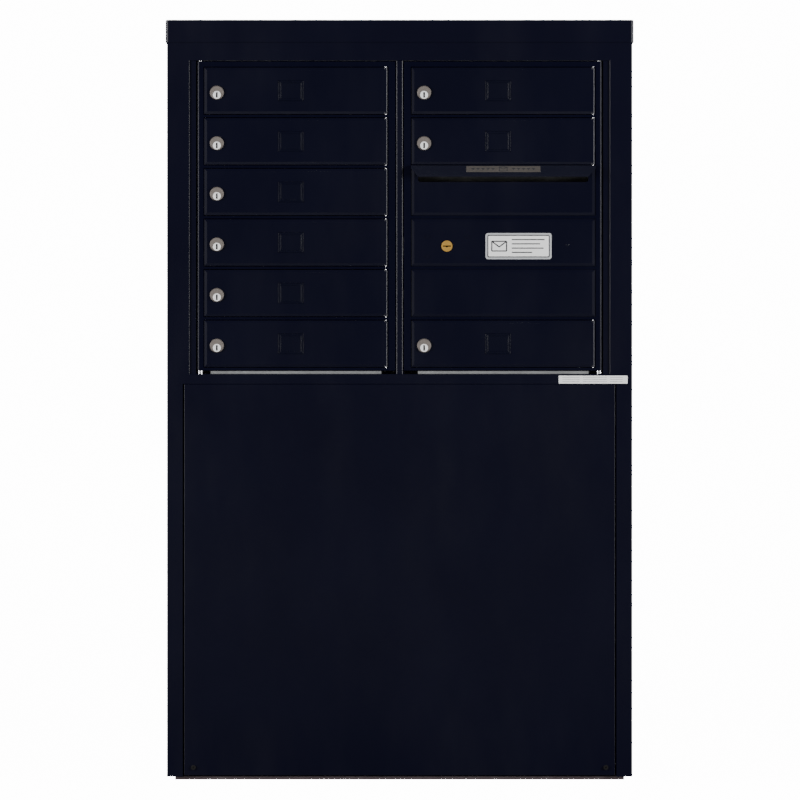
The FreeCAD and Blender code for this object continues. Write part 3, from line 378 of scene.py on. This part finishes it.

# --- Tenant locks: a die-cast bezel, plated a dull taupe grey, round a bright plated plug. The
# plug has a faintly turned face, and its keyway is darkened with painted shade.

bezel_cast = Finish("taupe_die_cast", Metallic=0.55)
cast = bezel_cast.noise(420.0, 3.0)
bezel_cast.set("Base Color", bezel_cast.blend(cast, (0.19, 0.165, 0.15), (0.27, 0.24, 0.22)))
bezel_cast.set("Roughness", cast * 0.15 + 0.38)
bezel_cast.bump(cast, 0.00003)
KEYWAY_SHADE_SOFT, KEYWAY_DEEP = 0.0005, 0.008
plug_bright = Finish("plated_plug", Metallic=0.1)
turned = plug_bright.noise(900.0, 2.0, 0.5, (1, 0.1, 1))
plug_tone = plug_bright.blend(turned, (0.86, 0.86, 0.86), (0.95, 0.95, 0.95))
plug_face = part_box("lock_plug_1")[0][1]
# Painted shade: the plug's colour goes near black in a band just behind its face, so the keyway reads dark.
past_face = plug_bright.behind(plug_face, KEYWAY_SHADE_SOFT)
past_keyway = plug_bright.behind(plug_face + KEYWAY_DEEP, KEYWAY_SHADE_SOFT)
keyway_painted_shade = past_face - past_keyway
plug_bright.set("Base Color", plug_bright.blend(keyway_painted_shade, plug_tone, (0.01, 0.01, 0.01)))
plug_bright.set("Roughness", turned * 0.15 + 0.3)
plug_bright.bump(turned, 0.00001)
dress(["lock_housing_" + name[-1] for name in DOORS], bezel_cast)
dress(["lock_plug_" + name[-1] for name in DOORS], plug_bright)

# --- Carrier lock: machined brass, lightly tarnished, with rings from the lathe.

brass = Finish("machined_brass", Metallic=0.6)
tarnish = brass.noise(120.0, 4.0, 0.6)
lathe = brass.noise(1100.0, 1.0, 0.5, (1, 0.1, 1))
brass_tone = brass.blend(tarnish, (0.60, 0.33, 0.06), (0.80, 0.48, 0.12))
# Painted shade: everything behind the plug's face is turned near black, so the slot reads dark; the hidden
# barrel goes dark with it.
slot_painted_shade = brass.behind(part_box("carrier_plug")[0][1], KEYWAY_SHADE_SOFT)
brass.set("Base Color", brass.blend(slot_painted_shade, brass_tone, (0.02, 0.013, 0.006)))
brass.set("Roughness", tarnish * 0.2 + lathe * 0.08 + 0.2)
brass.bump(lathe, 0.00002)
dress(["carrier_plug"], brass)

# --- Hood label: a thin anodised plate on the hood's sloping face, with a printed pictogram of an
# envelope between two rows of arrowheads in place of lettering.

anodised = Finish("anodised_taupe", Metallic=0.6)
grain = anodised.noise(500.0, 2.0, 0.5, (0.05, 1, 1))
anodised.set("Base Color", anodised.blend(grain, (0.10, 0.088, 0.08), (0.15, 0.135, 0.125)))
anodised.set("Roughness", grain * 0.15 + 0.36)
ink = Finish("dark_print", Roughness=0.6)
ink.set("Base Color", ink.blend(ink.noise(800.0), (0.012, 0.012, 0.016), (0.03, 0.03, 0.034)))
FOLD_DROP = 0.08
ARROW_RISE, ARROW_TIP = 0.6, 0.7


def bar(start, end, thick):
    """Four corners of a straight stroke between two points."""
    start, end = np.array(start), np.array(end)
    run = (end - start) / np.linalg.norm(end - start)
    across = np.array([-run[1], run[0]]) * thick / 2
    return np.array([start - across, end - across, end + across, start + across])


def envelope(middle, wide, tall, thick):
    """Strokes of an envelope: its four sides and the two edges of its flap."""
    x, z = wide / 2, tall / 2
    corners = np.array([(-x, -z), (x, -z), (x, z), (-x, z)]) + middle
    strokes = [bar(corners[k], corners[(k + 1) % 4], thick) for k in range(4)]
    fold = np.array(middle) + (0, -tall * FOLD_DROP)
    return strokes + [bar(corners[3], fold, thick), bar(fold, corners[2], thick)]


def arrowhead(middle, size):
    """A triangle that points down."""
    x, z = middle
    top = z + size * ARROW_RISE
    return np.array([(x - size, top), (x, z - size * ARROW_TIP), (x + size, top)])


def print_surface(shapes, middle, height, thick):
    """Thin raised prisms facing -Y: each shape's corners are X and Z from the middle, anticlockwise."""
    points, faces = [], []
    for shape in shapes:
        count, start = len(shape), len(points)
        for level in (middle[1] - height, middle[1] - height - thick):
            points += [(middle[0] + x, level, middle[2] + z) for x, z in shape]
        back = [start + k for k in range(count)]
        face = [start + count + k for k in range(count)]
        faces += [back[::-1], face]
        for k in range(count):
            after = (k + 1) % count
            faces.append([back[k], back[after], face[after], face[k]])
    return np.array(points), faces


def tipped(points, pivot, lean):
    """Turn points about a line along X through the pivot, so that what faced -Y looks up by the lean."""
    turned = np.array(points)
    y, z = turned[:, 1] - pivot[1], turned[:, 2] - pivot[2]
    turned[:, 1] = pivot[1] + y * np.cos(lean) + z * np.sin(lean)
    turned[:, 2] = pivot[2] - y * np.sin(lean) + z * np.cos(lean)
    return turned


hood_low, hood_high, hood_middle = place_of("mail_hood")
HOOD_RUN, HOOD_LIP = 0.0104, 0.003
LABEL_WIDE, LABEL_TALL, LABEL_CORNER = 0.130, 0.0125, 0.0012
LABEL_DOWN, LABEL_THICK = 0.0067, 0.0004
PRINT_THICK = 0.00006
LABEL_ENVELOPE = (0.0135, 0.0084, 0.0014)
ARROW_COUNT, ARROW_FROM, ARROW_PITCH, ARROW_SIZE = 5, 0.018, 0.0088, 0.0036
hood_fall = hood_high[2] - hood_low[2] - HOOD_LIP
hood_lean = np.arctan2(HOOD_RUN, hood_fall)
label_y = hood_low[1] + HOOD_RUN * (1 - LABEL_DOWN / hood_fall)
label_middle = (hood_middle[0], label_y, hood_high[2] - LABEL_DOWN)
LABEL_RINGS = ((0.0003, LABEL_THICK), (0.0, LABEL_THICK - 0.0002), (0.0, 0.0))
points, faces = plate_surface(label_middle, LABEL_WIDE, LABEL_TALL, LABEL_CORNER, LABEL_RINGS)
points = tipped(points, label_middle, hood_lean)
add_piece("hood_label", points, faces, anodised, "right_master_door")
marks = envelope((0, 0), *LABEL_ENVELOPE)
for side in (-1, 1):
    for step in range(ARROW_COUNT):
        marks.append(arrowhead((side * (ARROW_FROM + ARROW_PITCH * step), 0), ARROW_SIZE))
points, faces = print_surface(marks, label_middle, LABEL_THICK, PRINT_THICK)
points = tipped(points, label_middle, hood_lean)
add_piece("hood_label_print", points, faces, ink, "right_master_door")

# --- Notice plate on the lock panel: printed aluminium with rounded corners, stuck on. A pale border
# and a thin dark line go round a white field; an envelope and ruled lines stand in for its wording.

NOTICE_WIDE, NOTICE_TALL, NOTICE_RIGHT, NOTICE_CORNER = 0.116, 0.046, 0.1893, 0.0045
NOTICE_DROP, NOTICE_THICK, NOTICE_LINE_IN, NOTICE_FIELD_IN = 0.0064, 0.0005, 0.0032, 0.0050
NOTICE_CORNER_FALL, NOTICE_EDGE_IN, LAYER_THICK = 0.6, 0.0002, 0.00005
NOTICE_ENVELOPE_X, NOTICE_ENVELOPE = -0.034, (0.026, 0.017, 0.0021)
RULED_LONG = (0.058, 0.050, 0.056, 0.036)
RULED_FROM, RULED_TOP, RULED_PITCH, RULED_THICK = -0.012, 0.0115, 0.0075, 0.0020
border_paint = Finish("notice_border", Roughness=0.42)
border_tone = border_paint.noise(90.0, 3.0)
border_paint.set("Base Color", border_paint.blend(border_tone, (0.40, 0.41, 0.43), (0.46, 0.47, 0.49)))
field_paint = Finish("notice_field", Roughness=0.45)
field_tone = field_paint.noise(70.0, 4.0)
field_paint.set("Base Color", field_paint.blend(field_tone, (0.86, 0.86, 0.86), (0.94, 0.94, 0.94)))
panel_low, panel_high, panel_middle = place_of("lock_panel")
notice_middle = (panel_low[0] + NOTICE_RIGHT, panel_low[1], panel_middle[2] - NOTICE_DROP)
layers = (
    ("notice_border", 0.0, NOTICE_THICK, border_paint),
    ("notice_line", NOTICE_LINE_IN, NOTICE_THICK + LAYER_THICK, ink),
    ("notice_field", NOTICE_FIELD_IN, NOTICE_THICK + 2 * LAYER_THICK, field_paint),
)
for name, inset, height, finish in layers:
    rings = ((NOTICE_EDGE_IN, height), (0.0, height - LAYER_THICK), (0.0, 0.0))
    wide, tall = NOTICE_WIDE - 2 * inset, NOTICE_TALL - 2 * inset
    corner = NOTICE_CORNER - inset * NOTICE_CORNER_FALL
    points, faces = plate_surface(notice_middle, wide, tall, corner, rings)
    add_piece(name, points, faces, finish, "right_master_door")
marks = envelope((NOTICE_ENVELOPE_X, 0), *NOTICE_ENVELOPE)
for row, long in enumerate(RULED_LONG):
    height = RULED_TOP - RULED_PITCH * row
    marks.append(bar((RULED_FROM, height), (RULED_FROM + long, height), RULED_THICK))
points, faces = print_surface(marks, notice_middle, NOTICE_THICK + 2 * LAYER_THICK, PRINT_THICK)
add_piece("notice_print", points, faces, ink, "right_master_door")

# --- Data sticker under the right master door: white film on the surround, with faint ruled lines
# where a maker's particulars would be.

STICKER_WIDE, STICKER_TALL, STICKER_CORNER, STICKER_THICK = 0.121, 0.0140, 0.0012, 0.00015
STICKER_FROM_SIDE, STICKER_UP = 0.0068, 0.0075
STICKER_COLUMNS = ((-0.054, 0.030), (-0.018, 0.042), (0.030, 0.022))
STICKER_ROWS, ROW_TOP, ROW_PITCH, ROW_THICK = 3, 0.0038, 0.0036, 0.0007
film = Finish("white_film", Roughness=0.5)
film.set("Base Color", film.blend(film.noise(60.0, 3.0), (0.84, 0.84, 0.84), (0.92, 0.92, 0.92)))
faint_ink = Finish("grey_print", Roughness=0.6)
faint_ink.set("Base Color", faint_ink.blend(faint_ink.noise(800.0), (0.22, 0.22, 0.23), (0.30, 0.30, 0.31)))
surround_low, surround_high, _ = place_of("front_surround")
sticker_x = surround_high[0] - STICKER_FROM_SIDE - STICKER_WIDE / 2
sticker_middle = (sticker_x, surround_low[1], surround_low[2] + STICKER_UP)
rings = ((0.0001, STICKER_THICK), (0.0, 0.0))
points, faces = plate_surface(sticker_middle, STICKER_WIDE, STICKER_TALL, STICKER_CORNER, rings)
add_piece("data_sticker", points, faces, film, "cabinet")
marks = []
for row in range(STICKER_ROWS):
    height = ROW_TOP - ROW_PITCH * row
    for start, long in STICKER_COLUMNS:
        marks.append(bar((start, height), (start + long, height), ROW_THICK))
points, faces = print_surface(marks, sticker_middle, STICKER_THICK, PRINT_THICK)
add_piece("data_sticker_print", points, faces, faint_ink, "cabinet")

# --- Blind stud on the lock panel: one domed fastener head beside the notice, coated with the panel.

STUD_PROFILE = ((0.0, 0.0006), (0.0012, 0.00055), (0.0022, 0.0003), (0.0028, 0.0))
STUD_SIDES = 32
STUD_FROM_SIDE, STUD_DROP = 0.0495, 0.0045


def dome_surface(middle, profile):
    """A round head facing -Y: rings of a profile of radius and height, closed behind."""
    turn = np.linspace(0, 2 * np.pi, STUD_SIDES, endpoint=False)
    points = [(middle[0], middle[1] - profile[0][1], middle[2])]
    for radius, height in profile[1:]:
        for angle in turn:
            x, z = radius * np.cos(angle), radius * np.sin(angle)
            points.append((middle[0] + x, middle[1] - height, middle[2] + z))
    faces = []
    for k in range(STUD_SIDES):
        after = (k + 1) % STUD_SIDES
        faces.append([0, 1 + k, 1 + after])
        for ring in range(len(profile) - 2):
            near_ring, far_ring = 1 + ring * STUD_SIDES, 1 + (ring + 1) * STUD_SIDES
            faces.append([near_ring + k, far_ring + k, far_ring + after, near_ring + after])
    last = 1 + (len(profile) - 2) * STUD_SIDES
    faces.append([last + k for k in range(STUD_SIDES)][::-1])
    return points, faces


stud_middle = (panel_high[0] - STUD_FROM_SIDE, panel_low[1], panel_middle[2] - STUD_DROP)
points, faces = dome_surface(stud_middle, STUD_PROFILE)
add_piece("blind_stud", points, faces, plate_coat, "right_master_door")

bpy.context.view_layer.update()
